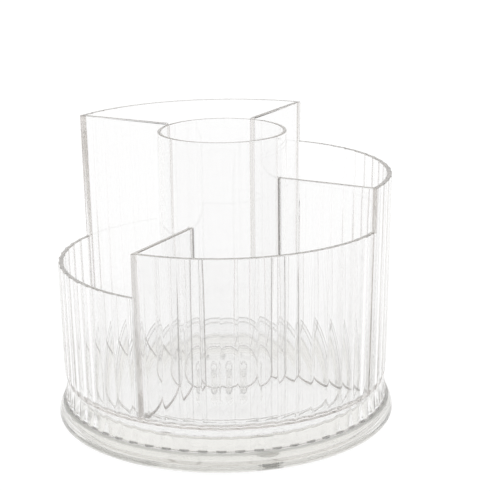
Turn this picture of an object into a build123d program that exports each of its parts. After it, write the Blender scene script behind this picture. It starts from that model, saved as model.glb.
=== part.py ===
from build123d import *
from math import cos, pi, sin, tan, radians
import os

# Rotating makeup organizer: a clear fluted carousel that turns on a flared foot.
# Z is the axis that it turns about, and the table is the plane Z = 0.
# The four dividers stand on the X and Y axes.
# From +X towards +Y the compartments have the tall, top, low and mid rims.

os.makedirs("parts", exist_ok=True)

# Heights above the table
pad_proud = 0.6
foot_bulge_height = 1.8
foot_top_height = 7.6
seam_gap = 0.5
glide_height = 11.85
floor_top = 19.0
low_rim_height = 69.0
rim_step = 18.0
tube_below_top_rim = 0.6

# Fluted outer wall
wall_start_radius = 69.2
wall_start_rise = 2.4
draft_angle = 0.95
wall_thickness = 2.4
flute_count = 58
flute_depth = 0.68
rim_flute_depth = 0.2

# Waist under the wall, and the skirt that flares from it
waist_drop = 2.0
waist_inset = 1.0
waist_flute_depth = 0.1
skirt_flare = 1.6
skirt_flare_power = 1.5
skirt_slices = 3

# Dividers, centre tube and floor
divider_thickness = 2.0
tube_radius = 26.8
tube_wall = 1.6
floor_thickness = 2.0
bond_gap = 0.05

# Foot ring, measured out from the bottom of the skirt
foot_overhang = 2.2
foot_top_overhang = 0.35
foot_bottom_overhang = 1.2
foot_wall = 2.3
foot_flange_width = 5.7
foot_flange_thickness = 2.0

# Base plate and anti-slip pads
plate_thickness = 2.0
plate_gap = 0.1
pad_radius = 5.0
pad_thickness = 1.2
pad_gap = 0.1
pad_inset = 8.7
pad_count = 4

# Races and glide ring
race_inset = 1.1
race_width = 2.4
glide_width = 1.6
glide_thickness = 1.35
glide_seat_depth = 0.4
running_gap = 0.05

# Pivot
post_radius = 3.0
post_flange_width = 4.0
post_flange_thickness = 2.0
post_top_below_floor = 0.8
groove_depth = 0.8
groove_height = 1.0
groove_below_post_top = 1.1
clip_clearance = 0.05
clip_width = 2.0
clip_mouth = 3.4
clip_lift = 0.1
clip_room = 0.6
hub_wall = 1.4
hub_above_flange = 2.0
cap_lip = 1.4
cap_thickness = 1.0
cap_gap = 0.1

# Heights that follow from those above
mid_rim_height = low_rim_height + rim_step
tall_rim_height = mid_rim_height + rim_step
top_rim_height = tall_rim_height + rim_step
tube_top_height = top_rim_height - tube_below_top_rim
wall_start_height = floor_top + wall_start_rise
floor_underside = floor_top - floor_thickness
waist_height = floor_top - waist_drop
skirt_bottom_height = foot_top_height + seam_gap
plate_top = pad_proud + plate_thickness
flange_top = plate_top + foot_flange_thickness
upper_race_bottom = glide_height + running_gap
lower_race_top = glide_height - glide_thickness + glide_seat_depth
post_top_height = floor_underside - post_top_below_floor
groove_bottom = post_top_height - groove_below_post_top - groove_height
hub_bottom = plate_top + post_flange_thickness + hub_above_flange
hub_shoulder = groove_bottom - clip_lift

# Radii that follow from those above
waist_radius = wall_start_radius - waist_inset
skirt_bottom_radius = waist_radius + skirt_flare
foot_radius = skirt_bottom_radius + foot_overhang
foot_top_radius = skirt_bottom_radius + foot_top_overhang
foot_bottom_radius = skirt_bottom_radius + foot_bottom_overhang
recess_radius = foot_bottom_radius - foot_wall
flange_radius = recess_radius - foot_flange_width
race_radius = flange_radius - race_inset - race_width / 2
pad_circle_radius = recess_radius - pad_inset
groove_radius = post_radius - groove_depth
clip_radius = groove_radius + clip_width
hub_room_radius = clip_radius + clip_room

# Height and flute depth of the skirt's slices, as shares of its flare
skirt_drop = waist_height - skirt_bottom_height
skirt_shares = [number / skirt_slices for number in range(skirt_slices + 1)]


def crest_radius(height):
    """Radius over the flute crests of the wall, which leans out by the draft angle."""
    return wall_start_radius + (height - wall_start_height) * tan(radians(draft_angle))


def bore_radius(height):
    """Radius of the smooth inside of the wall."""
    return crest_radius(height) - wall_thickness


def wall_flute_depth(height):
    """Depth of the wall's flutes, which fade from its start to the top rim."""
    share = (height - wall_start_height) / (top_rim_height - wall_start_height)
    return flute_depth + (rim_flute_depth - flute_depth) * share


def between(waist_value, wall_value):
    """Value at the floor's top, on a straight line from the waist to the start of the wall."""
    share = waist_drop / (waist_drop + wall_start_rise)
    return waist_value + (wall_value - waist_value) * share


# The wall has begun to turn in to the waist where it meets the floor
wall_foot_radius = between(waist_radius, wall_start_radius)
wall_foot_depth = between(waist_flute_depth, flute_depth)
floor_bore_radius = bore_radius(floor_top)


def flute_point(turns, radius):
    """Point on a circle, counted in flutes from the +X axis."""
    angle = 2 * pi * (turns % flute_count) / flute_count
    return (radius * cos(angle), radius * sin(angle))


def fluted_outline(height, radius, depth):
    """Outline of hollow arcs that meet in sharp crests."""
    with BuildSketch(Plane.XY.offset(height)) as outline:
        with BuildLine():
            for flute in range(flute_count):
                ThreePointArc(
                    flute_point(flute, radius),
                    flute_point(flute + 0.5, radius - depth),
                    flute_point(flute + 1, radius),
                )
        make_face()
    return outline.sketch


def round_outline(height, radius):
    """Disc at one height."""
    with BuildSketch(Plane.XY.offset(height)) as outline:
        Circle(radius)
    return outline.sketch


def fluted_wall_outlines(rim_height):
    """Fluted outlines of the wall from the floor to a rim."""
    return [
        fluted_outline(floor_top, wall_foot_radius, wall_foot_depth),
        fluted_outline(wall_start_height, wall_start_radius, flute_depth),
        fluted_outline(rim_height, crest_radius(rim_height), wall_flute_depth(rim_height)),
    ]


def crest_outlines(rim_height):
    """Round outlines over the crests, for pieces that end flush with them."""
    return [
        round_outline(floor_top, wall_foot_radius),
        round_outline(wall_start_height, wall_start_radius),
        round_outline(rim_height, crest_radius(rim_height)),
    ]


def wall_quarter(name, quadrant, rim_height):
    """Quarter of the fluted wall, between the faces of two dividers."""
    quarter_plane = Plane.XY.offset(floor_top).rotated((0, 0, 90 * quadrant))
    reach = crest_radius(rim_height) + wall_thickness
    with BuildPart() as wall:
        loft(fluted_wall_outlines(rim_height), ruled=True)
        loft(
            [
                round_outline(floor_top, floor_bore_radius),
                round_outline(rim_height, bore_radius(rim_height)),
            ],
            mode=Mode.SUBTRACT,
        )
        with BuildSketch(quarter_plane):
            with Locations((divider_thickness / 2, divider_thickness / 2)):
                Rectangle(reach, reach, align=(Align.MIN, Align.MIN))
        extrude(amount=rim_height - floor_top, mode=Mode.INTERSECT)
    wall.part.label = name
    export_step(wall.part, f"parts/{name}.step")
    return wall


def divider(name, quadrant, rim_height):
    """Upright plate from the centre tube to the outside of the wall."""
    plate_plane = Plane.XY.offset(floor_top).rotated((0, 0, 90 * quadrant))
    reach = crest_radius(rim_height) + wall_thickness
    with BuildPart() as plate:
        loft(crest_outlines(rim_height), ruled=True)
        with BuildSketch(plate_plane):
            Rectangle(reach, divider_thickness, align=(Align.MIN, Align.CENTER))
            Circle(tube_radius + bond_gap, mode=Mode.SUBTRACT)
        extrude(amount=rim_height - floor_top, mode=Mode.INTERSECT)
    plate.part.label = name
    export_step(plate.part, f"parts/{name}.step")
    return plate


# Outer wall, one quarter for each rim height
wall_quarter("tall_wall", 0, tall_rim_height)
wall_quarter("top_wall", 1, top_rim_height)
wall_quarter("low_wall", 2, low_rim_height)
wall_quarter("mid_wall", 3, mid_rim_height)

# Dividers, each as high as the higher of the two walls beside it
divider("tall_divider", 0, tall_rim_height)
divider("top_divider", 1, top_rim_height)
divider("low_divider", 2, top_rim_height)
divider("mid_divider", 3, mid_rim_height)

# Centre tube for brushes and pencils
with BuildPart() as brush_tube:
    with BuildSketch(Plane.XY.offset(floor_top)):
        Circle(tube_radius)
        Circle(tube_radius - tube_wall, mode=Mode.SUBTRACT)
    extrude(amount=tube_top_height - floor_top)
brush_tube.part.label = "brush_tube"
export_step(brush_tube.part, "parts/brush_tube.step")

# Floor of the compartments, with a stepped hole over the pivot
with BuildPart() as compartment_floor:
    with BuildSketch(Plane.XY.offset(floor_underside)):
        Circle(floor_bore_radius - bond_gap)
    extrude(amount=floor_thickness)
    with Locations((0, 0, floor_top)):
        CounterBoreHole(
            radius=hub_room_radius,
            counter_bore_radius=hub_room_radius + cap_lip + cap_gap,
            counter_bore_depth=cap_thickness,
        )
compartment_floor.part.label = "compartment_floor"
export_step(compartment_floor.part, "parts/compartment_floor.step")

# Cap that closes the hole over the pivot, flush with the floor
with BuildPart() as hub_cap:
    with BuildSketch(Plane.XY.offset(floor_top)):
        Circle(hub_room_radius + cap_lip)
    extrude(amount=bond_gap - cap_thickness)
hub_cap.part.label = "hub_cap"
export_step(hub_cap.part, "parts/hub_cap.step")

# Fluted skirt: from the floor it draws in to the waist, then flares down to the seam
with BuildPart() as fluted_skirt:
    skirt_outlines = [fluted_outline(floor_top, wall_foot_radius, wall_foot_depth)]
    for share in skirt_shares:
        slice_height = waist_height - share * skirt_drop
        slice_radius = waist_radius + skirt_flare * share**skirt_flare_power
        slice_depth = waist_flute_depth + (flute_depth - waist_flute_depth) * share
        skirt_outlines.append(fluted_outline(slice_height, slice_radius, slice_depth))
    loft(skirt_outlines, ruled=True)
    loft(
        [
            round_outline(skirt_bottom_height, skirt_bottom_radius - wall_thickness),
            round_outline(floor_underside, floor_bore_radius),
            round_outline(floor_top, floor_bore_radius),
        ],
        ruled=True,
        mode=Mode.SUBTRACT,
    )
fluted_skirt.part.label = "fluted_skirt"
export_step(fluted_skirt.part, "parts/fluted_skirt.step")

# Race under the floor, which rides on the glide ring
with BuildPart() as upper_race:
    with BuildSketch(Plane.XY.offset(upper_race_bottom)):
        Circle(race_radius + race_width / 2)
        Circle(race_radius - race_width / 2, mode=Mode.SUBTRACT)
    extrude(amount=floor_underside - upper_race_bottom)
upper_race.part.label = "upper_race"
export_step(upper_race.part, "parts/upper_race.step")

# Hub under the floor: a bearing sleeve with room above it for the clip
with BuildPart() as pivot_hub:
    with BuildSketch(Plane.XY.offset(hub_bottom)):
        Circle(hub_room_radius + hub_wall)
        Circle(post_radius + running_gap, mode=Mode.SUBTRACT)
    extrude(amount=floor_underside - hub_bottom)
    with BuildSketch(Plane.XY.offset(hub_shoulder)):
        Circle(hub_room_radius)
    extrude(amount=floor_underside - hub_shoulder, mode=Mode.SUBTRACT)
pivot_hub.part.label = "pivot_hub"
export_step(pivot_hub.part, "parts/pivot_hub.step")

# Foot ring: a rounded outer wall, with a flange inside that the plate is bonded under
with BuildPart() as base_ring:
    with BuildSketch(Plane.XZ):
        with BuildLine():
            TangentArc(
                (foot_radius, foot_bulge_height),
                (foot_top_radius, foot_top_height),
                tangent=(0, 1),
            )
            TangentArc(
                (foot_radius, foot_bulge_height),
                (foot_bottom_radius, pad_proud),
                tangent=(0, -1),
            )
            Polyline(
                (foot_bottom_radius, pad_proud),
                (recess_radius, pad_proud),
                (recess_radius, plate_top),
                (flange_radius, plate_top),
                (flange_radius, flange_top),
                (foot_radius - foot_wall, flange_top),
            )
            TangentArc(
                (foot_radius - foot_wall, flange_top),
                (foot_top_radius - foot_wall, foot_top_height),
                tangent=(0, 1),
            )
            Line(
                (foot_top_radius - foot_wall, foot_top_height),
                (foot_top_radius, foot_top_height),
            )
        make_face()
    revolve(axis=Axis.Z)
base_ring.part.label = "base_ring"
export_step(base_ring.part, "parts/base_ring.step")

# Plate that closes the foot from below, with a pocket for each pad
with BuildPart() as base_plate:
    with BuildSketch(Plane.XY.offset(pad_proud)):
        Circle(recess_radius - plate_gap)
    extrude(amount=plate_thickness - bond_gap)
    with BuildSketch(Plane.XY.offset(pad_proud)):
        with PolarLocations(pad_circle_radius, pad_count, start_angle=180 / pad_count):
            Circle(pad_radius + pad_gap)
    extrude(amount=pad_thickness - pad_proud, mode=Mode.SUBTRACT)
base_plate.part.label = "base_plate"
export_step(base_plate.part, "parts/base_plate.step")

# Anti-slip pads under the plate
with BuildPart() as foot_pads:
    with BuildSketch():
        with PolarLocations(pad_circle_radius, pad_count, start_angle=180 / pad_count):
            Circle(pad_radius)
    extrude(amount=pad_thickness - bond_gap)
foot_pads.part.label = "foot_pads"
export_step(foot_pads.part, "parts/foot_pads.step")

# Race on the plate, with a groove along its top for the glide ring
with BuildPart() as lower_race:
    with BuildSketch(Plane.XY.offset(plate_top)):
        Circle(race_radius + race_width / 2)
        Circle(race_radius - race_width / 2, mode=Mode.SUBTRACT)
    extrude(amount=lower_race_top - plate_top)
    with BuildSketch(Plane.XY.offset(lower_race_top)):
        Circle(race_radius + glide_width / 2)
        Circle(race_radius - glide_width / 2, mode=Mode.SUBTRACT)
    extrude(amount=-glide_seat_depth, mode=Mode.SUBTRACT)
lower_race.part.label = "lower_race"
export_step(lower_race.part, "parts/lower_race.step")

# Low-friction ring between the two races
with BuildPart() as glide_ring:
    with BuildSketch(Plane.XY.offset(glide_height)):
        Circle(race_radius + glide_width / 2 - bond_gap)
        Circle(race_radius - glide_width / 2 + bond_gap, mode=Mode.SUBTRACT)
    extrude(amount=bond_gap - glide_thickness)
glide_ring.part.label = "glide_ring"
export_step(glide_ring.part, "parts/glide_ring.step")

# Post on the plate, with a flange at its foot and a groove near its top
with BuildPart() as pivot_post:
    with BuildSketch(Plane.XY.offset(plate_top)):
        Circle(post_radius + post_flange_width)
    extrude(amount=post_flange_thickness)
    with BuildSketch(Plane.XY.offset(plate_top)):
        Circle(post_radius)
    extrude(amount=post_top_height - plate_top)
    with BuildSketch(Plane.XY.offset(groove_bottom)):
        Circle(post_radius)
        Circle(groove_radius, mode=Mode.SUBTRACT)
    extrude(amount=groove_height, mode=Mode.SUBTRACT)
pivot_post.part.label = "pivot_post"
export_step(pivot_post.part, "parts/pivot_post.step")

# Open clip in the groove, over the shoulder of the hub
with BuildPart() as retaining_clip:
    with BuildSketch(Plane.XY.offset(groove_bottom + clip_clearance)):
        Circle(clip_radius)
        Circle(groove_radius + clip_clearance, mode=Mode.SUBTRACT)
        Rectangle(clip_radius, clip_mouth, align=(Align.MIN, Align.CENTER), mode=Mode.SUBTRACT)
    extrude(amount=groove_height - 2 * clip_clearance)
retaining_clip.part.label = "retaining_clip"
export_step(retaining_clip.part, "parts/retaining_clip.step")
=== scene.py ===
# %% [markdown]
# # A clear, fluted makeup carousel
# The object is a turntable organizer moulded in clear plastic: four compartments with rims
# like a stair, a plain tube in the middle, and a flared foot that the whole carousel turns on.
# Clear plastic has hardly any colour of its own. What the eye reads is its edges, its flutes
# and its thickness, so this lesson spends its time on exact surfaces and on the light.

# %% Load the frame
import math

import bmesh
import bpy
from mathutils import Matrix, Vector


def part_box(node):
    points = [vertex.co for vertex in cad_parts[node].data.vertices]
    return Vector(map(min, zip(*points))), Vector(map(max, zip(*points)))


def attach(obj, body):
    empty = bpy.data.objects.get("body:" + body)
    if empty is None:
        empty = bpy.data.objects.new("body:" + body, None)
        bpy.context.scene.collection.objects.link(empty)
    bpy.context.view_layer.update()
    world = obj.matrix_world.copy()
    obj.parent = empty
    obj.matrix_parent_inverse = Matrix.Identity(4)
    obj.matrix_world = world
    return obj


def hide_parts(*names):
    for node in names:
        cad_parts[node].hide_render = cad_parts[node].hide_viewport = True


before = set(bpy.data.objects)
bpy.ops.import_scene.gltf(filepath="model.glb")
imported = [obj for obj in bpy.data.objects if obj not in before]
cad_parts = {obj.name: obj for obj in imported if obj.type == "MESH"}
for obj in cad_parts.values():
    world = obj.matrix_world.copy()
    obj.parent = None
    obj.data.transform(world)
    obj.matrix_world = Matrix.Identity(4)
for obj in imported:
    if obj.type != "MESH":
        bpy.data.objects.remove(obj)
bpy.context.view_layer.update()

# %% [markdown]
# ## Small helpers
# Blender measures in metres, and a moulding is easier to think about in millimetres, so one
# value turns one into the other. Colours are written as they look on a screen and turned to
# linear light by one function. One more function adds a shader node with its settings.
# Points are often picked by their place, so two tolerances in millimetres say when places
# count as the same, and when they are clearly apart.

# %% Helpers for sizes, colours and nodes
MM = 0.001
NEAR = 0.01
APART = 0.1


def box_in_mm(corners):
    """The low and the high corner of a box in millimetres."""
    return [Vector(corner) / MM for corner in corners]


def rounded(values):
    """Numbers short enough to read in a print."""
    return [round(value, 2) for value in values]


def turn_of(point):
    """Turn of a point about the axis, in degrees from 0 to 360."""
    return math.degrees(math.atan2(point.y, point.x)) % 360


def linear(hex_colour):
    """Turn an sRGB hex colour into the linear RGBA that shaders use."""
    channels = []
    for start in (1, 3, 5):
        value = int(hex_colour[start:start + 2], 16) / 255
        channels.append(value / 12.92 if value <= 0.04045 else ((value + 0.055) / 1.055) ** 2.4)
    return (*channels, 1.0)


def add_node(tree, kind, settings=None, **inputs):
    """Add a node, set its properties, and set or link its inputs. _0 is the first input."""
    node = tree.nodes.new(kind)
    for name, value in (settings or {}).items():
        setattr(node, name, value)
    for name, value in inputs.items():
        key = int(name[1:]) if name[0] == "_" else name.replace("_", " ")
        socket = node.inputs[key]
        if isinstance(value, bpy.types.NodeSocket):
            tree.links.new(value, socket)
        else:
            socket.default_value = value
    return node


def deselect():
    """Let go of everything, because operators act on all that is selected."""
    bpy.ops.object.select_all(action="DESELECT")


deselect()

# %% [markdown]
# ## The plan of the moulding
# Walls, dividers, tube, floor and skirt are one clear moulding to the eye: light runs through
# them with no seam. A seam between two clear solids would show as a mirror, so the render
# needs one closed skin. It could be cut from blocks with booleans, which is slow and leaves
# ragged edges where flutes meet flat faces. Here it is raised from its floor plan instead:
# a flat sheet of rings and sectors is extruded upwards storey by storey, like a building.
#
# First come the sizes, in millimetres. The heights and radii are those of the solid parts.

# %% Sizes of the moulding
floor_under, floor_top = (corner.z for corner in box_in_mm(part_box("compartment_floor")))
skirt_bottom = box_in_mm(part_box("fluted_skirt"))[0].z
rims = {name: box_in_mm(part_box(name + "_wall"))[1].z for name in ("low", "mid", "tall", "top")}
tube_corner = box_in_mm(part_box("brush_tube"))[1]
tube_radius, tube_top = tube_corner.x, tube_corner.z
half_divider = box_in_mm(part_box("top_divider"))[1].x
print("rims in mm:", dict(zip(rims, rounded(rims.values()))))

WALL_START_RISE = 2.4
WALL_START = floor_top + WALL_START_RISE
WALL_START_RADIUS = 69.2
DRAFT_ANGLE = 0.95
DRAFT = math.tan(math.radians(DRAFT_ANGLE))
WALL = 2.4
FLUTES = 58
FLUTE_DEPTH = 0.68
RIM_FLUTE_DEPTH = 0.2
WAIST_RADIUS = 68.2
WAIST_DEPTH = 0.1
SKIRT_FLARE = 1.6
SKIRT_FLARE_POWER = 1.5
TUBE_WALL = 1.6

# %% How the surfaces curve
def crest(height):
    """Radius over the flute crests, for the wall above its start."""
    return WALL_START_RADIUS + (height - WALL_START) * DRAFT


def fluted_profile(height):
    """Crest radius and flute depth at a height, for skirt, waist and wall."""
    if height >= WALL_START:
        share = (height - WALL_START) / (rims["top"] - WALL_START)
        return crest(height), FLUTE_DEPTH + (RIM_FLUTE_DEPTH - FLUTE_DEPTH) * share
    if height >= floor_under:
        share = (height - floor_under) / (WALL_START - floor_under)
        growth = (WALL_START_RADIUS - WAIST_RADIUS) * share
    else:
        share = (floor_under - height) / (floor_under - skirt_bottom)
        growth = SKIRT_FLARE * share ** SKIRT_FLARE_POWER
    return WAIST_RADIUS + growth, WAIST_DEPTH + (FLUTE_DEPTH - WAIST_DEPTH) * share


def flute_share(turn):
    """Where in its flute a turn lies, from 0 at one crest to 1 at the next."""
    return turn * FLUTES / 360 % 1


def fluted_radius(turn, height):
    """Radius of the hollow flutes at a turn in degrees. A crest lies at 0 degrees."""
    radius, depth = fluted_profile(height)
    return radius - depth * (1 - (2 * flute_share(turn) - 1) ** 2)


def bore(height):
    """Radius of the smooth inside of wall and skirt."""
    if height >= floor_under:
        return crest(max(height, floor_top)) - WALL
    share = (floor_under - height) / (floor_under - skirt_bottom)
    waist_bore = crest(floor_top) - WALL
    return waist_bore + (WAIST_RADIUS + SKIRT_FLARE - WALL - waist_bore) * share


# %% [markdown]
# ## Columns
# Every ring of the plan has the same number of points, so that rings can be joined by quads.
# Twelve points draw one hollow flute. At each divider one flute point a side makes way for
# three others: the middle of the half, its flat face, and a point a small step away, where
# the rounding of the inside corner will end. A divider's faces are parallel, so near it a
# point's turn depends on its radius.

# %% Where the columns stand
FACETS = 12
FACET_TURN = 360 / (FLUTES * FACETS)
QUARTER = FLUTES * FACETS // 4 + 2
COLUMNS = 4 * QUARTER
CORNER_STEP = 0.55
ON_FACE = 2


def column_turn(column, radius, follows_flutes):
    """Turn in degrees of a column at a radius."""
    quarter, place = divmod(column % COLUMNS, QUARTER)
    mirrored = place > QUARTER / 2
    inward = QUARTER - place if mirrored else place
    face = math.degrees(math.asin(half_divider / radius))
    step = math.degrees(CORNER_STEP / radius)
    if inward <= ON_FACE:
        turn = face * inward / ON_FACE
    elif inward == ON_FACE + 1:
        turn = face + step
    elif follows_flutes:
        turn = (inward - 1) * FACET_TURN
    else:
        first = ON_FACE + 1
        share = (inward - first) / (QUARTER - 2 * first)
        turn = face + step + share * (90 - 2 * (face + step))
    return 90 * quarter + (90 - turn if mirrored else turn)


print("points in a ring:", COLUMNS)

# %% [markdown]
# ## Raising the storeys
# The sheet starts as one circle of points, extruded outwards ring by ring. Extruding the
# whole sheet upwards makes the floor slab. Then the faces of walls, dividers and tube are
# picked by their place in the plan and extruded to the first rim, the low wall is let go,
# the rest goes up to the next rim, and so on. The race, the hub and the skirt go down.

# %% The plan's rings and a way to pick faces
HUB_BORE = 3.05
HUB_ROOM = 4.8
SHOULDER_DEPTH = 3.0
HUB_SHOULDER = floor_under - SHOULDER_DEPTH
CAP_GAP = 0.1
CAP_THICKNESS = 1.0
RACE_WIDTH = 2.4
LEVEL_FACE = 0.9
cap_seat = box_in_mm(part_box("hub_cap"))[1].x + CAP_GAP
hub_low, hub_high = box_in_mm(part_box("pivot_hub"))
race_low, race_high = box_in_mm(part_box("upper_race"))
# The last two rings are drawn plain, and take the real radii of bore and crests further on
PLAIN_BORE = 66.8
PLAIN_CREST = 69.0
PLAN = [
    HUB_ROOM, cap_seat, tube_radius - TUBE_WALL, tube_radius,
    race_high.x - RACE_WIDTH, race_high.x, PLAIN_BORE, PLAIN_CREST,
]
ROOM_RING, SEAT_RING = 0, 1
BORE_RING, CREST_RING = 6, 7
ZONES = ["hub", "tube_inside", "tube", "rooms", "race", "rooms", "wall"]
QUARTERS = ["tall", "top", "low", "mid"]
DIVIDER_RIMS = [rims["tall"], rims["top"], rims["top"], rims["mid"]]


def zone_of(centre):
    """The zone of the plan that a face's centre is in, and the rim that it belongs to."""
    radius = centre.xy.length / MM
    zone = ZONES[max(0, min(len(ZONES) - 1, sum(radius > r for r in PLAN) - 1))]
    column = int(turn_of(centre) * COLUMNS / 360)
    quarter, place = divmod(column, QUARTER)
    if zone in ("hub", "tube_inside"):
        return zone, floor_top
    if zone == "tube":
        return zone, tube_top
    if place < ON_FACE or place >= QUARTER - ON_FACE:
        return zone, DIVIDER_RIMS[quarter if place < ON_FACE else (quarter + 1) % 4]
    return zone, rims[QUARTERS[quarter]] if zone == "wall" else floor_top


def pick(height, facing, wanted):
    """Select the level faces at a height whose zone and rim the wanted function accepts."""
    mesh = bmesh.from_edit_mesh(bpy.context.object.data)
    for face in mesh.faces:
        centre = face.calc_center_median()
        level = abs(centre.z / MM - height) < NEAR and face.normal.z * facing > LEVEL_FACE
        face.select_set(level and wanted(*zone_of(centre)))
    mesh.select_flush(True)
    bmesh.update_edit_mesh(bpy.context.object.data)


def raise_to(start, end):
    """Extrude the selected faces straight up or down from one height to another."""
    bpy.ops.mesh.extrude_region_move(TRANSFORM_OT_translate={"value": (0, 0, (end - start) * MM)})


# %% The floor slab
bpy.ops.mesh.primitive_circle_add(
    vertices=COLUMNS, radius=PLAN[0] * MM, fill_type="NOTHING", location=(0, 0, floor_under * MM)
)
moulding = bpy.context.object
moulding.name = "clear_carousel"
bpy.ops.object.transform_apply(location=True)
bpy.ops.object.mode_set(mode="EDIT")
bpy.ops.mesh.select_mode(type="EDGE")
bpy.ops.mesh.select_all(action="SELECT")
for inner, outer in zip(PLAN, PLAN[1:]):
    bpy.ops.mesh.extrude_edges_move()
    bpy.ops.transform.resize(value=(outer / inner, outer / inner, 1))
bpy.ops.mesh.select_mode(type="FACE")
bpy.ops.mesh.select_all(action="SELECT")
bpy.ops.mesh.normals_make_consistent(inside=False)
raise_to(floor_under, floor_top)
bpy.ops.mesh.select_all(action="SELECT")
bpy.ops.mesh.normals_make_consistent(inside=False)
print("floor slab:", len(bmesh.from_edit_mesh(moulding.data).faces), "faces")

# %% Walls, dividers and tube, storey by storey
WAIST_STEP = 0.8
WAIST_LEVELS = [floor_top, floor_top + WAIST_STEP, floor_top + 2 * WAIST_STEP, WALL_START]
storeys = WAIST_LEVELS + sorted([*rims.values(), tube_top])
for low, high in zip(storeys, storeys[1:]):
    pick(low, 1, lambda zone, rim: rim > low + APART)
    raise_to(low, high)
print("with its storeys:", len(bmesh.from_edit_mesh(moulding.data).faces), "faces")

# %% Skirt, race and hub below the floor, and the seat of the cap
SKIRT_SLICES = 10
SHOULDER_DROP = 0.03
skirt_fall = (skirt_bottom - floor_under) / SKIRT_SLICES
skirt_levels = [floor_under + skirt_fall * k for k in range(SKIRT_SLICES + 1)]
for high, low in zip(skirt_levels, skirt_levels[1:]):
    pick(high, -1, lambda zone, rim: zone == "wall")
    raise_to(high, low)
pick(floor_under, -1, lambda zone, rim: zone == "race")
raise_to(floor_under, race_low.z)
hub_levels = [floor_under, HUB_SHOULDER, HUB_SHOULDER - SHOULDER_DROP, hub_low.z]
for high, low in zip(hub_levels, hub_levels[1:]):
    pick(high, -1, lambda zone, rim: zone == "hub")
    raise_to(high, low)
pick(floor_top, 1, lambda zone, rim: zone == "hub")
raise_to(floor_top, floor_top - CAP_THICKNESS)
bpy.ops.object.mode_set(mode="OBJECT")
print("with skirt, race and hub:", len(moulding.data.polygons), "faces")

# %% [markdown]
# ## Drawing in the flutes
# So far every ring is a plain circle. Now each point moves to its real place: the outer ring
# takes the flutes and the draft, the ring inside it follows the smooth bore, and the
# columns beside a divider close up to its parallel faces. The divider's end stays on the
# crests, which gives the flat band that shows down the outside of the real wall. By hand
# this would be thousands of small moves with the resize operator, so a formula does it.

# %% Move every point to its real place
def real_place(point):
    """Where a point of the plain circles belongs on the moulding."""
    height = point.z / MM
    plain = point.xy.length / MM
    ring = min(range(len(PLAN)), key=lambda k: abs(PLAN[k] - plain))
    column = round(turn_of(point) * COLUMNS / 360) % COLUMNS
    place = column % QUARTER
    radius = PLAN[ring]
    if ring == ROOM_RING and height < HUB_SHOULDER - SHOULDER_DROP / 2:
        radius = HUB_BORE
    if ring == SEAT_RING and height < floor_under + APART:
        radius = hub_high.x
    if ring == BORE_RING:
        radius = bore(height)
    if ring == CREST_RING:
        radius = fluted_profile(height)[0]
    turn = column_turn(column, radius, ring >= BORE_RING)
    on_band = min(place, QUARTER - place) <= ON_FACE and height > floor_under + NEAR
    if ring == CREST_RING and not on_band:
        radius = fluted_radius(turn, height)
    angle = math.radians(turn)
    return Vector((radius * math.cos(angle), radius * math.sin(angle), height)) * MM


for vertex in moulding.data.vertices:
    vertex.co = real_place(vertex.co)
print("points moved:", len(moulding.data.vertices))

# %% [markdown]
# ## Soft corners
# A mould can't make a knife edge, and rounded edges are what makes clear plastic readable:
# each one bends light like a thin lens and shows as a grey line. Rims and outer corners get
# a small rounding, and the inside corners a slightly larger one, both with the bevel
# operator on edges that are picked by how their two faces meet.

# %% Round the edges
RIM_ROUNDING = 0.4
CORNER_ROUNDING = 0.5
ROUND_STEPS = 2
CORNER_ANGLE = 60
UPRIGHT_RISE = 0.5


def pick_edges(wanted):
    """Select the edges that the wanted function accepts, and count them."""
    mesh = bmesh.from_edit_mesh(bpy.context.object.data)
    count = 0
    for edge in mesh.edges:
        low, high = sorted(v.co.z / MM for v in edge.verts)
        angle = math.degrees(edge.calc_face_angle_signed(0))
        chosen = len(edge.link_faces) == 2 and wanted(angle, low, high)
        edge.select_set(chosen)
        count += chosen
    bmesh.update_edit_mesh(bpy.context.object.data)
    return count


def inside_corner(angle, low, high):
    """Where walls, dividers and tube meet each other or the floor."""
    upright = high - low > UPRIGHT_RISE
    on_floor = high < floor_top + NEAR
    return angle < -CORNER_ANGLE and low > floor_top - NEAR and (upright or on_floor)


def outer_corner(angle, low, high):
    """The edges of rims and the free corners of dividers, and the skirt's lower edges."""
    on_rim = low > WALL_START + APART
    return angle > CORNER_ANGLE and (on_rim or high < skirt_bottom + NEAR)


def round_off(size):
    """Bevel the selected edges by a size in millimetres."""
    bpy.ops.mesh.bevel(
        offset=size * MM, segments=ROUND_STEPS, affect="EDGES", clamp_overlap=False
    )


bpy.ops.object.mode_set(mode="EDIT")
bpy.ops.mesh.select_mode(type="EDGE")
for name, wanted, size in (
    ("inside", inside_corner, CORNER_ROUNDING), ("outer", outer_corner, RIM_ROUNDING)
):
    bpy.ops.mesh.select_all(action="DESELECT")
    print(name, "corner edges:", pick_edges(wanted))
    round_off(size)
bpy.ops.object.mode_set(mode="OBJECT")

# %% Shade it smoothly and measure it
SHARP_ANGLE = 60
CM = 0.01


def smooth_and_measure(piece):
    """Smooth shading that keeps sharp edges and level faces true, then the piece's facts."""
    deselect()
    piece.select_set(True)
    bpy.context.view_layer.objects.active = piece
    bpy.ops.object.shade_smooth_by_angle(angle=math.radians(SHARP_ANGLE))
    evener = piece.modifiers.new("even_shading", "WEIGHTED_NORMAL")
    evener.keep_sharp = True
    bpy.ops.object.modifier_apply(modifier=evener.name)
    mesh = bmesh.new()
    mesh.from_mesh(piece.data)
    open_edges = sum(len(edge.link_faces) != 2 for edge in mesh.edges)
    volume = round(mesh.calc_volume(signed=True) / CM ** 3, 2)
    print(piece.name, len(mesh.faces), "faces,", open_edges, "open edges,", volume, "cm3")
    mesh.free()


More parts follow.
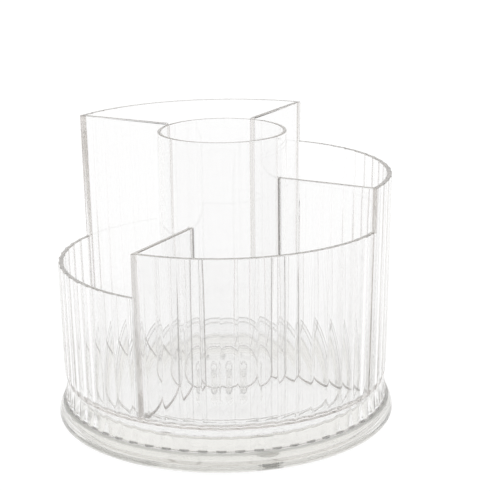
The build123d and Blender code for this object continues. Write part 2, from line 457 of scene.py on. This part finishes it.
smooth_and_measure(moulding)
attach(moulding, "carousel")
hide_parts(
    "low_wall", "mid_wall", "tall_wall", "top_wall", "low_divider", "mid_divider",
    "tall_divider", "top_divider", "brush_tube", "compartment_floor", "fluted_skirt",
    "upper_race", "pivot_hub"
)

# %% [markdown]
# ## The foot
# The carousel turns over a flared ring with a round bulge near the table. It is a second
# moulding, and a plain body of rotation, so it could come from a lathe or a spun outline. Here
# it is raised like a pot on a wheel: one circle of points is extruded along the section, ring
# after ring, until the last ring meets the first. Its edges are then rounded as the others.

# %% The section of the foot
FOOT_TOP_RADIUS = 70.15
FOOT_BOTTOM_RADIUS = 71.0
FOOT_BULGE_HEIGHT = 1.8
FOOT_WALL = 2.3
FOOT_RECESS = 68.7
FOOT_FLANGE = 63.0
FOOT_FLANGE_TOP = 4.6
ARC_STEPS = 8
foot_low, foot_high = box_in_mm(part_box("base_ring"))
foot_radius = min(foot_high.x, foot_high.y, -foot_low.x, -foot_low.y)
plate_top = box_in_mm(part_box("lower_race"))[0].z


def upright_arc(start, end):
    """Points after the start on the arc that leaves it straight up or down and ends at end."""
    inset, rise = start[0] - end[0], end[1] - start[1]
    arc = (inset ** 2 + rise ** 2) / (2 * inset)
    sweep = math.asin(rise / arc)
    turns = [sweep * k / ARC_STEPS for k in range(1, ARC_STEPS + 1)]
    return [
        (start[0] - arc * (1 - math.cos(turn)), start[1] + arc * math.sin(turn)) for turn in turns
    ]


bulge = (foot_radius, FOOT_BULGE_HEIGHT)
inside_start = (foot_radius - FOOT_WALL, FOOT_FLANGE_TOP)
section = [
    bulge,
    *upright_arc(bulge, (FOOT_TOP_RADIUS, foot_high.z)),
    *reversed(upright_arc(inside_start, (FOOT_TOP_RADIUS - FOOT_WALL, foot_high.z))),
    inside_start,
    (FOOT_FLANGE, FOOT_FLANGE_TOP),
    (FOOT_FLANGE, plate_top),
    (FOOT_RECESS, plate_top),
    (FOOT_RECESS, foot_low.z),
    *reversed(upright_arc(bulge, (FOOT_BOTTOM_RADIUS, foot_low.z))),
    bulge,
]
print("points in the foot's section:", len(section))

# %% Raise the foot ring by ring
FOOT_COLUMNS = 360
FOOT_CORNER_ANGLE = 50
MERGE_DISTANCE = 0.001
bpy.ops.mesh.primitive_circle_add(
    vertices=FOOT_COLUMNS, radius=foot_radius * MM, fill_type="NOTHING",
    location=(0, 0, FOOT_BULGE_HEIGHT * MM)
)
foot = bpy.context.object
foot.name = "clear_foot"
bpy.ops.object.transform_apply(location=True)
bpy.ops.object.mode_set(mode="EDIT")
bpy.ops.mesh.select_mode(type="EDGE")
bpy.ops.mesh.select_all(action="SELECT")
for (radius, height), (next_radius, next_height) in zip(section, section[1:]):
    rise, growth = (next_height - height) * MM, next_radius / radius
    bpy.ops.mesh.extrude_edges_move(TRANSFORM_OT_translate={"value": (0, 0, rise)})
    bpy.ops.transform.resize(value=(growth, growth, 1))
bpy.ops.mesh.select_all(action="SELECT")
bpy.ops.mesh.remove_doubles(threshold=MERGE_DISTANCE * MM)
bpy.ops.mesh.normals_make_consistent(inside=False)
bpy.ops.mesh.select_all(action="DESELECT")
print("foot edges rounded:", pick_edges(lambda angle, low, high: angle > FOOT_CORNER_ANGLE))
round_off(RIM_ROUNDING)
bpy.ops.object.mode_set(mode="OBJECT")
smooth_and_measure(foot)
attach(foot, "base")
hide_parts("base_ring")

# %% [markdown]
# ## Clear plastic
# Carousel and foot are general purpose polystyrene, injected into a polished mould. It is as
# clear as glass and bends light a little more. A glass shader alone would look too clean: a
# real wall takes a few percent of the light, and light that runs far inside, along a divider
# or round a rim, comes out grey. The tint of the surface does the first and a volume that
# absorbs light does the second. As it fills the mould the plastic also leaves a faint
# waviness, drawn by a soft bump, and where the mould isn't polished a fine grain. One
# recipe builds every clear plastic here, and another the two milky ones.

# %% One recipe for every clear plastic
POLYSTYRENE_IOR = 1.59
WAVE_SIZE = 14.0
WAVE_HEIGHT = 0.01
WAVE_STRETCH = 0.3
GRAIN_SIZE = 0.8
GRAIN_SPREAD = 0.3


def surface_pattern(tree, size, stretch=1.0, detail=1.0):
    """A soft pattern at a real size in millimetres, fixed to the object, stretched upwards."""
    place = add_node(tree, "ShaderNodeTexCoord")
    scaled = add_node(
        tree, "ShaderNodeMapping", Vector=place.outputs["Object"], Scale=(1, 1, stretch)
    )
    return add_node(
        tree, "ShaderNodeTexNoise", Vector=scaled.outputs[0], Scale=1 / (size * MM), Detail=detail
    )


def new_plastic(name, roughness, ior, clearness):
    """A plastic with the values that are the same all over it, its node tree and its shader."""
    material = bpy.data.materials.new(name)
    material.use_nodes = True
    shader = material.node_tree.nodes["Principled BSDF"]
    shader.inputs["Roughness"].default_value = roughness
    shader.inputs["IOR"].default_value = ior
    shader.inputs["Transmission Weight"].default_value = clearness
    return material, material.node_tree, shader


def clear_plastic(name, tint, fog, grey, roughness=0.0, ior=POLYSTYRENE_IOR, finishes_and_shade=False):
    """A clear plastic, darker inside with more grey. It can read a finish or painted shade off each
    face.
    """
    material, tree, shader = new_plastic(name, roughness, ior, clearness=1.0)
    shader.inputs["Base Color"].default_value = linear(tint)
    if finishes_and_shade:
        tints = add_node(tree, "ShaderNodeAttribute", {"attribute_name": "tint"})
        hazes = add_node(tree, "ShaderNodeAttribute", {"attribute_name": "haze"})
        grain = surface_pattern(tree, GRAIN_SIZE)
        spread = add_node(
            tree, "ShaderNodeMapRange", Value=grain.outputs[0],
            To_Min=1 - GRAIN_SPREAD, To_Max=1 + GRAIN_SPREAD
        )
        haze = add_node(
            tree, "ShaderNodeMath", {"operation": "MULTIPLY"},
            _0=hazes.outputs["Fac"], _1=spread.outputs["Result"]
        )
        tree.links.new(tints.outputs["Color"], shader.inputs["Base Color"])
        tree.links.new(haze.outputs[0], shader.inputs["Roughness"])
    waves = surface_pattern(tree, WAVE_SIZE, WAVE_STRETCH)
    bump = add_node(tree, "ShaderNodeBump", Height=waves.outputs[0], Distance=WAVE_HEIGHT * MM)
    tree.links.new(bump.outputs[0], shader.inputs["Normal"])
    absorber = add_node(tree, "ShaderNodeVolumeAbsorption", Color=linear(fog), Density=grey)
    tree.links.new(absorber.outputs[0], tree.nodes["Material Output"].inputs["Volume"])
    return material


def lay_finishes_and_shade(piece, finishes_and_shade, choose):
    """Write each face's finish or painted shade as tint and haze attributes, and count the faces.
    """
    piece.data.attributes.new("tint", "FLOAT_COLOR", "CORNER")
    piece.data.attributes.new("haze", "FLOAT", "CORNER")
    tints, hazes = piece.data.attributes["tint"], piece.data.attributes["haze"]
    linear_tints = {name: linear(tint) for name, (tint, haze) in finishes_and_shade.items()}
    counts = dict.fromkeys(finishes_and_shade, 0)
    for face in piece.data.polygons:
        name = choose(face.center / MM, face.normal)
        counts[name] += 1
        for corner in face.loop_indices:
            tints.data[corner].color = linear_tints[name]
            hazes.data[corner].value = finishes_and_shade[name][1]
    print(piece.name, counts)


# %% [markdown]
# ## The carousel's finishes and painted shade
# Most of the carousel is polished and clear. Three places look dark on the real thing:
# dashes at the crests along the skirt's lower edge, the corners where the two shorter dividers
# meet the tube, and the edges of the dividers, along their tops and down the outside. Their
# darkness is matched by eye and their causes are guesses: matt plastic where the crests meet
# the parting face of the mould, haze where thick plastic cools last, and trimmed edges that
# gather the light that has run along inside the plate. That darkness is light lost in the
# seam's gap and light bent away by rounded corners and edges.
# Here it is painted shade: a darker tint on those faces, matched in strength, with some
# roughness at the dashes and the corners.
#
# A material for each finish would be the usual way, and it comes out wrong here. The grey
# inside the plastic stops only where light leaves by the material that it came in by, so
# faces with a second material keep it switched on behind them and turn far too dark. The
# moulding therefore keeps one material, and its faces carry the tint and haze that it reads.

# %% Finishes and painted shade of the carousel
BODY_FOG = "#725200"
BODY_GREY = 4.0
DASH_SHARE = 0.25
EDGE_REACH = 0.3
SLACK = 0.02
# How much of a normal of length 1 has to point up, down or outwards
FACING = 0.3
OUTWARD = 0.5
CAROUSEL_FINISHES_AND_SHADE = {
    "polished": ("#fcfcfc", 0.0),
    "matt_painted_seam_shade": ("#a3a29e", 0.4),
    # Matt and darker: painted shade for the seam's gap, as dashes at the skirt's crests
    "painted_corner_shade": ("#848382", 0.2),
    # Painted shade in the corners where the shorter dividers meet the tube, with some roughness
    "painted_edge_shade": ("#dfdedd", 0.0),
# Painted shade along the divider edges, where light is bent away
}


def carousel_finish_or_shade(centre, normal):
    """Finish or painted shade of a carousel face, from its centre in millimetres and its normal."""
    # Painted seam shade: darker, rougher dashes at the crests of the skirt's lower edge
    if centre.z < skirt_bottom + EDGE_REACH and normal.z < -FACING:
        near_crest = abs(flute_share(turn_of(centre)) - 0.5) > DASH_SHARE
        return "matt_painted_seam_shade" if near_crest else "polished"
    radius = centre.xy.length
    from_middle = min(abs(centre.x), abs(centre.y))
    # Painted edge shade on the tops and outer ends of the dividers
    if from_middle < half_divider + NEAR and centre.z > floor_top and radius > tube_radius:
        outer_end = radius > bore(centre.z) and normal.xy.dot(centre.xy) > OUTWARD * radius
        return "painted_edge_shade" if outer_end or normal.z > FACING else "polished"
    # Painted corner shade where the two shorter dividers meet the tube
    beside_tube = SLACK < radius - tube_radius < CORNER_ROUNDING + EDGE_REACH
    in_corner = -SLACK < from_middle - half_divider < CORNER_ROUNDING
    upright = centre.z > floor_top + CORNER_ROUNDING and abs(normal.z) < FACING
    shorter = centre.x > centre.y
    return "painted_corner_shade" if beside_tube and in_corner and upright and shorter else "polished"


# General purpose polystyrene from a polished mould: clear and bright, grey only at its edges.
polished_tint = CAROUSEL_FINISHES_AND_SHADE["polished"][0]
# The faces it reads add painted shade at the seam, the tube corners and the divider edges.
body = clear_plastic("clear_polystyrene", polished_tint, BODY_FOG, BODY_GREY, finishes_and_shade=True)
moulding.data.materials.append(body)
lay_finishes_and_shade(moulding, CAROUSEL_FINISHES_AND_SHADE, carousel_finish_or_shade)

# %% [markdown]
# ## The foot's finishes and painted shade
# The foot looks greyer than the walls above it: above its bulge the outside has a light
# satin. The upper rim, which the skirt turns over, is matt and darker: painted shade for the
# dark line of the seam's gap. Inside the foot everything is clear again, because a tint on
# every surface would add up in the light that is trapped in the flat plate.

# %% Finishes and painted shade of the foot
BASE_FOG = "#8a8278"
BASE_GREY = 0.5
FOOT_FINISHES_AND_SHADE = {
    # Matt and darker: painted shade on the upper rim, for the dark line of the seam's gap
    "polished": ("#fefefd", 0.0),
    "matt_painted_seam_shade": ("#d3d2ce", 0.4),
    "satin": ("#e7e6e2", 0.05),
}


def foot_finish_or_shade(centre, normal):
    """Finish or painted shade of a foot face, from its centre in millimetres and its normal."""
    # Painted seam shade on the upper rim
    if abs(centre.z - foot_high.z) < EDGE_REACH and normal.z > FACING:
        return "matt_painted_seam_shade"
    outside = normal.xy.dot(centre.xy) > 0
    return "satin" if centre.z > FOOT_BULGE_HEIGHT and outside else "polished"


# Polystyrene with a satin band: the flared foot has an even, slightly warm grey.
base_tint = FOOT_FINISHES_AND_SHADE["polished"][0]
foot_plastic = clear_plastic("satin_polystyrene", base_tint, BASE_FOG, BASE_GREY, finishes_and_shade=True)
foot.data.materials.append(foot_plastic)
lay_finishes_and_shade(foot, FOOT_FINISHES_AND_SHADE, foot_finish_or_shade)

# %% [markdown]
# ## The small parts
# The glide ring between the two races is natural polypropylene, which is milky rather than
# clear. The clip that holds the carousel on its post is polycarbonate, clear and a little
# warm. The pads are soft vinyl, clear with a satin skin and faint clouds in it.

# %% A cloudy plastic, and which node is made of what
POLYPROPYLENE_IOR = 1.49
POLYCARBONATE_IOR = 1.585
VINYL_IOR = 1.53
CLOUD_SIZE = 3.0
CLOUD_DETAIL = 3.0


def cloudy_plastic(name, light_colour, dark_colour, ior, roughness, clearness):
    """A milky plastic: only part of the light goes straight through, and its colour drifts."""
    material, tree, shader = new_plastic(name, roughness, ior, clearness)
    clouds = surface_pattern(tree, CLOUD_SIZE, detail=CLOUD_DETAIL)
    ramp = add_node(tree, "ShaderNodeValToRGB", Fac=clouds.outputs[0])
    ramp.color_ramp.elements[0].color = linear(dark_colour)
    ramp.color_ramp.elements[1].color = linear(light_colour)
    tree.links.new(ramp.outputs["Color"], shader.inputs["Base Color"])
    grain = surface_pattern(tree, GRAIN_SIZE)
    bump = add_node(tree, "ShaderNodeBump", Height=grain.outputs[0], Distance=WAVE_HEIGHT * MM)
    tree.links.new(bump.outputs[0], shader.inputs["Normal"])
    return material


# Clear polystyrene, polished: the plate that closes the foot, and the post.
base = clear_plastic("clear_base_polystyrene", base_tint, BASE_FOG, BASE_GREY)
# The race wears against the glide ring, so it is finely scuffed and a little grey.
scuffed = clear_plastic("scuffed_polystyrene", "#f6f5f2", BASE_FOG, BASE_GREY, roughness=0.04)
# The cap is the same polished plastic as the carousel.
polished = clear_plastic("polished_polystyrene", polished_tint, BODY_FOG, BODY_GREY)
# Natural polypropylene, moulded: milky and slippery, a paler ring under the floor.
polypropylene = cloudy_plastic(
    "milky_polypropylene", "#fbfaf8", "#f4f3f0", POLYPROPYLENE_IOR, roughness=0.15, clearness=0.95
)
# Polycarbonate, moulded: clear with a warm cast.
polycarbonate = clear_plastic(
    "clear_polycarbonate", "#faf9f6", BASE_FOG, BASE_GREY, roughness=0.02, ior=POLYCARBONATE_IOR
)
# Soft vinyl, cut from sheet: clear, satin, with faint clouds.
vinyl = cloudy_plastic(
    "soft_vinyl", "#f4f3f0", "#e8e7e3", VINYL_IOR, roughness=0.3, clearness=0.85
)
NODE_MATERIALS = {
    "hub_cap": polished,
    "lower_race": scuffed,
    "glide_ring": polypropylene,
    "retaining_clip": polycarbonate,
    "foot_pads": vinyl,
}
for name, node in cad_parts.items():
    material = NODE_MATERIALS.get(name, base)
    node.data.materials.clear()
    node.data.materials.append(material)
    if not node.hide_render:
        print(name, "is", material.name)

# %% [markdown]
# ## Studio
# The object stands on white paper in a bright, even room, lit from all round and a little
# less from above, so that upright faces stay clear and every rounded edge finds something
# darker to bend into view. The background is plain white to the camera.

# %% Light from all round
# Degrees above the horizon, and how bright the room is there
SKY_STOPS = [(-90, 1.0), (15, 1.0), (40, 0.9), (60, 0.65), (90, 0.45)]
WHITE = (1, 1, 1, 1)
world = bpy.data.worlds.new("soft_studio")
bpy.context.scene.world = world
world.use_nodes = True
sky = world.node_tree
sky.nodes.clear()
direction = add_node(sky, "ShaderNodeTexCoord")
up = add_node(sky, "ShaderNodeSeparateXYZ", _0=direction.outputs["Generated"])
rise = add_node(sky, "ShaderNodeMapRange", Value=up.outputs["Z"], From_Min=-1.0, From_Max=1.0)
ramp = add_node(sky, "ShaderNodeValToRGB", Fac=rise.outputs["Result"])
stops = ramp.color_ramp.elements
stops.remove(stops[1])
for number, (degrees, value) in enumerate(SKY_STOPS):
    position = (math.sin(math.radians(degrees)) + 1) / 2
    stop = stops[0] if number == 0 else stops.new(position)
    stop.position = position
    stop.color = (value, value, value, 1)
ray = add_node(sky, "ShaderNodeLightPath")
light = add_node(sky, "ShaderNodeBackground", Color=ramp.outputs["Color"])
plain_white = add_node(sky, "ShaderNodeBackground", Color=WHITE)
both = add_node(
    sky, "ShaderNodeMixShader", Fac=ray.outputs["Is Camera Ray"],
    _1=light.outputs[0], _2=plain_white.outputs[0]
)
add_node(sky, "ShaderNodeOutputWorld", Surface=both.outputs[0])
print("brightness overhead:", SKY_STOPS[-1][1], "and at the horizon:", SKY_STOPS[1][1])

# %% [markdown]
# ## White paper
# A product shot like this stands on white paper. Seen by the camera, in a reflection or
# through the plastic, the paper glows by itself and is only partly matt, so it comes out
# white and still takes a faint grey shadow. Light that bounces between matt things meets an
# ordinary pale sheet, as in a real room.

# %% Lay the paper
FLOOR_GLOW = 0.95
FLOOR_DIFFUSE = 0.15
PLAIN_PAPER = 0.9
PAPER_SIZE = 6
PAPER_GAP = 0.02
bpy.ops.mesh.primitive_plane_add(size=PAPER_SIZE, location=(0, 0, -PAPER_GAP * MM))
studio_floor = bpy.context.object
studio_floor.name = "studio_floor"
paper = bpy.data.materials.new("white_paper")
paper.use_nodes = True
tree = paper.node_tree
tree.nodes.clear()
ray = add_node(tree, "ShaderNodeLightPath")
either = {"operation": "MAXIMUM"}
direct = add_node(
    tree, "ShaderNodeMath", either, _0=ray.outputs["Is Camera Ray"], _1=ray.outputs["Is Glossy Ray"]
)
seen = add_node(
    tree, "ShaderNodeMath", either, _0=direct.outputs[0], _1=ray.outputs["Is Transmission Ray"]
)
plain = add_node(tree, "ShaderNodeBsdfDiffuse", Color=(PLAIN_PAPER,) * 3 + (1,))
soft = add_node(tree, "ShaderNodeBsdfDiffuse", Color=(FLOOR_DIFFUSE,) * 3 + (1,))
glow = add_node(tree, "ShaderNodeEmission", Strength=FLOOR_GLOW)
shown = add_node(tree, "ShaderNodeAddShader", _0=soft.outputs[0], _1=glow.outputs[0])
paper_mix = add_node(
    tree, "ShaderNodeMixShader", Fac=seen.outputs[0], _1=plain.outputs[0], _2=shown.outputs[0]
)
add_node(tree, "ShaderNodeOutputMaterial", Surface=paper_mix.outputs[0])
studio_floor.data.materials.append(paper)
print("paper:", PAPER_SIZE, "m wide and", PAPER_GAP, "mm below the feet")

# %% [markdown]
# ## Camera
# The camera looks at the step from the low rim to the middle one, a little from above, and
# stands away by about five times the object's height. Its place, turn and lens come from
# matching the rims, the dividers and the foot to their measured places in the picture.
# Everything is sharp, as in a catalogue.

# %% Set up the camera
VIEW_TURN = 29.76
CAMERA_DISTANCE = 0.5853
CAMERA_HEIGHT = 0.2382
CAMERA_YAW = 0.88
CAMERA_PITCH = 15.81
CAMERA_ROLL = -0.67
FOCAL_PIXELS = 1436.0
IMAGE_HEIGHT = 491
SENSOR = 36.0
turn = math.radians(VIEW_TURN)
bpy.ops.object.camera_add()
camera = bpy.context.object
camera.data.sensor_width = SENSOR
camera.data.lens = FOCAL_PIXELS / IMAGE_HEIGHT * SENSOR
across, back = CAMERA_DISTANCE * math.sin(turn), -CAMERA_DISTANCE * math.cos(turn)
camera.matrix_world = (
    Matrix.Translation((across, back, CAMERA_HEIGHT))
    @ Matrix.Rotation(turn - math.radians(CAMERA_YAW), 4, "Z")
    @ Matrix.Rotation(math.radians(90 - CAMERA_PITCH), 4, "X")
    @ Matrix.Rotation(math.radians(CAMERA_ROLL), 4, "Z")
)
bpy.context.scene.camera = camera
print("camera at", rounded((across, back, CAMERA_HEIGHT)), "m, lens", round(camera.data.lens), "mm")

# %% [markdown]
# ## View and light paths
# Light runs through many clear walls here before it comes out, and a path that is cut short
# leaves a black spot. The paths are therefore made long. The Standard view keeps white white.

# %% Set the view and the light paths
LIGHT_STEPS = 128
scene = bpy.context.scene
scene.view_settings.view_transform = "Standard"
scene.cycles.max_bounces = LIGHT_STEPS
scene.cycles.transmission_bounces = LIGHT_STEPS
scene.cycles.glossy_bounces = LIGHT_STEPS
print("a path of light may take", LIGHT_STEPS, "steps")
